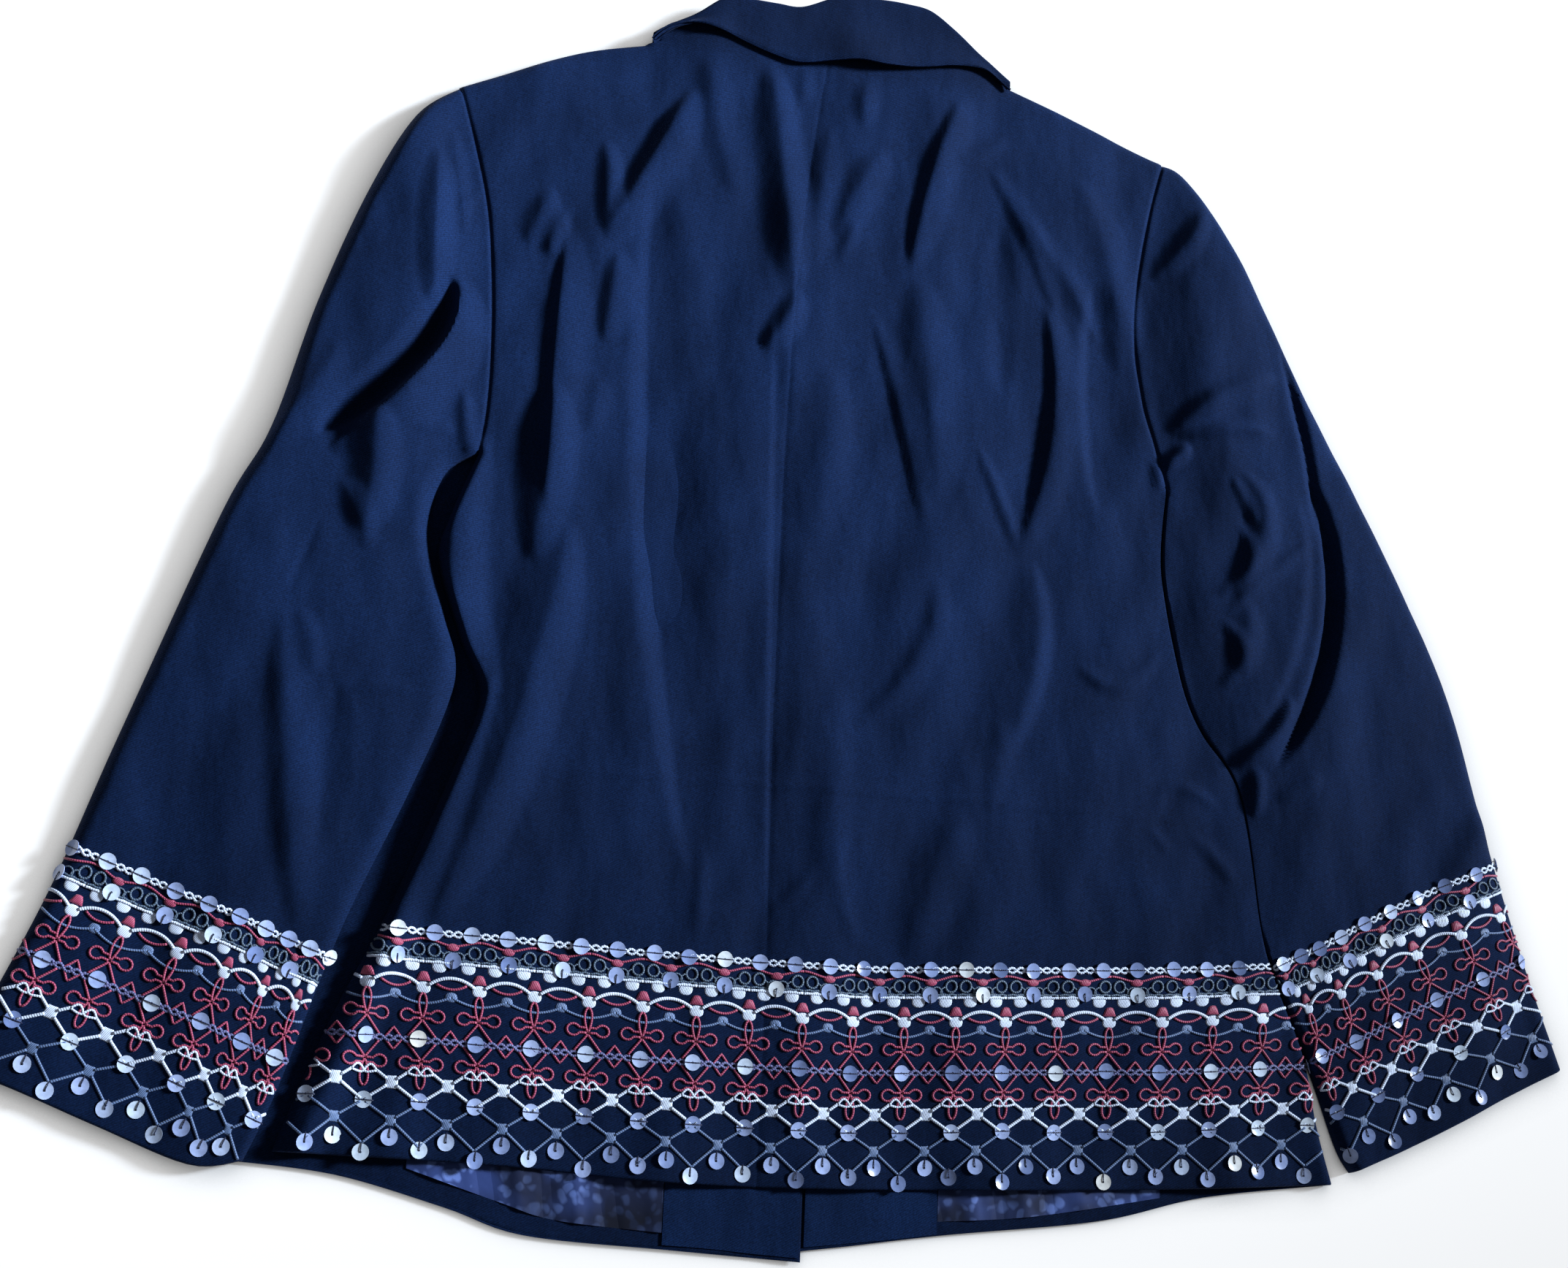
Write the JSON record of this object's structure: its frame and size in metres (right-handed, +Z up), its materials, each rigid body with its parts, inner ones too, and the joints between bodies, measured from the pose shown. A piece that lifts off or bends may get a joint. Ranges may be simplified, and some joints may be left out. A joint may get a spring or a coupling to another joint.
{
  "type": "sequin jacket laid flat",
  "caption": "Tailored navy jacket with long sleeves and a turned-down collar, laid face down, with a thread and sequin border at hem and cuffs.",
  "frame": {"origin": "middle of the jacket's footprint, on the surface that it lies on", "axes": "+Z up out of the back, +Y towards the collar, +X towards the wearer's right sleeve"},
  "size_m": [0.867, 0.7345, 0.0229],
  "materials": {
    "navy_cloth": "fine twill, matte with a faint sheen",
    "navy_under": "fine twill, matte",
    "lining": "jacquard satin"
  },
  "bodies": {
    "root": {"back_left": "navy_cloth", "back_right": "navy_cloth", "front_left": "navy_cloth", "front_right": "navy_cloth", "sleeve_left_top": "navy_cloth", "sleeve_left_under": "navy_under", "sleeve_right_top": "navy_cloth", "sleeve_right_under": "navy_under", "collar": "navy_cloth", "facing_left": "navy_cloth", "facing_right": "navy_cloth", "lining_left": "lining", "lining_right": "lining", "lapel_left": "navy_cloth", "lapel_right": "navy_cloth", "collar_end_left": "navy_cloth", "collar_end_right": "navy_cloth"}
  },
  "joints": []
}
